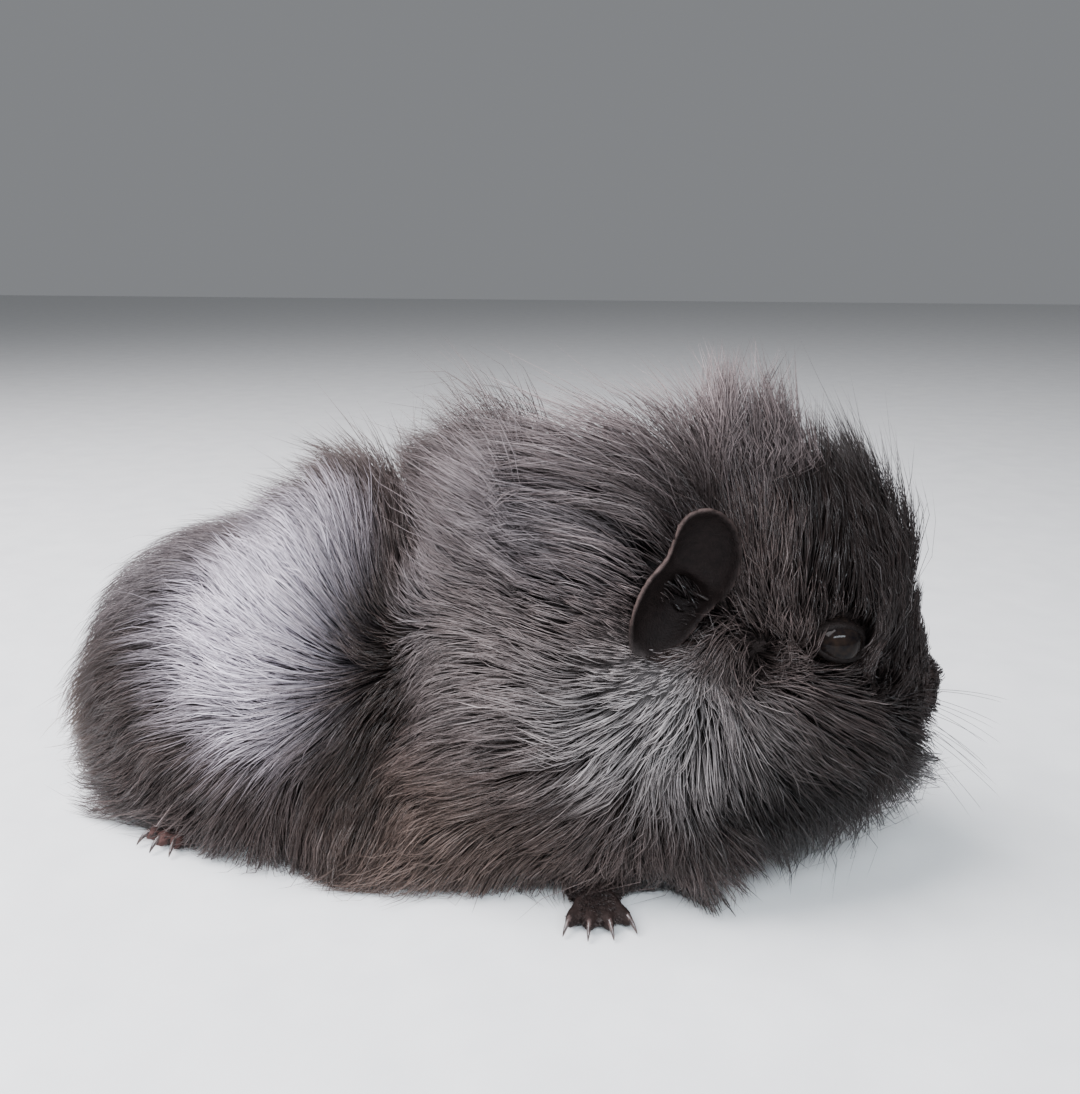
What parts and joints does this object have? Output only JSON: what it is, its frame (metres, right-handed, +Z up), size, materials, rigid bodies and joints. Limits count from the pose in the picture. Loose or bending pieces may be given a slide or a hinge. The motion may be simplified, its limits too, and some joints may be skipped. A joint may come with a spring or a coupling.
{
  "type": "long-haired guinea pig",
  "caption": "Life-size still model of a young long-haired rosetted guinea pig, dark brown-black, crouching on the floor with its head turned to its left.",
  "frame": {"origin": "on the floor, under the middle of the animal's box", "axes": "+X from the tail end to the head, +Y to the animal's left, +Z up"},
  "size_m": [0.1965, 0.0906, 0.1009],
  "materials": {
    "coat": "long soft hair, near-black brown with a silver-grey sheen",
    "ear_skin": "thin dark brown skin with a soft sheen",
    "foot": "dark short-haired skin",
    "eye": "wet glossy black",
    "claw": "smooth dark horn with paler tips"
  },
  "bodies": {
    "root": {"ear_left": "ear_skin", "ear_right": "ear_skin", "eye_left": "eye", "eye_right": "eye", "foreclaw_left_1": "claw", "foreclaw_left_2": "claw", "foreclaw_left_3": "claw", "foreclaw_left_4": "claw", "foreclaw_right_1": "claw", "foreclaw_right_2": "claw", "foreclaw_right_3": "claw", "foreclaw_right_4": "claw", "forefoot_left": "foot", "forefoot_right": "foot", "foreleg_left": "coat", "foreleg_right": "coat", "head": "coat", "hind_claw_left_1": "claw", "hind_claw_left_2": "claw", "hind_claw_left_3": "claw", "hind_claw_right_1": "claw", "hind_claw_right_2": "claw", "hind_claw_right_3": "claw", "hind_foot_left": "foot", "hind_foot_right": "foot", "hind_leg_left": "coat", "hind_leg_right": "coat", "muzzle": "coat", "neck": "coat", "rump": "coat", "trunk": "coat"}
  },
  "joints": []
}
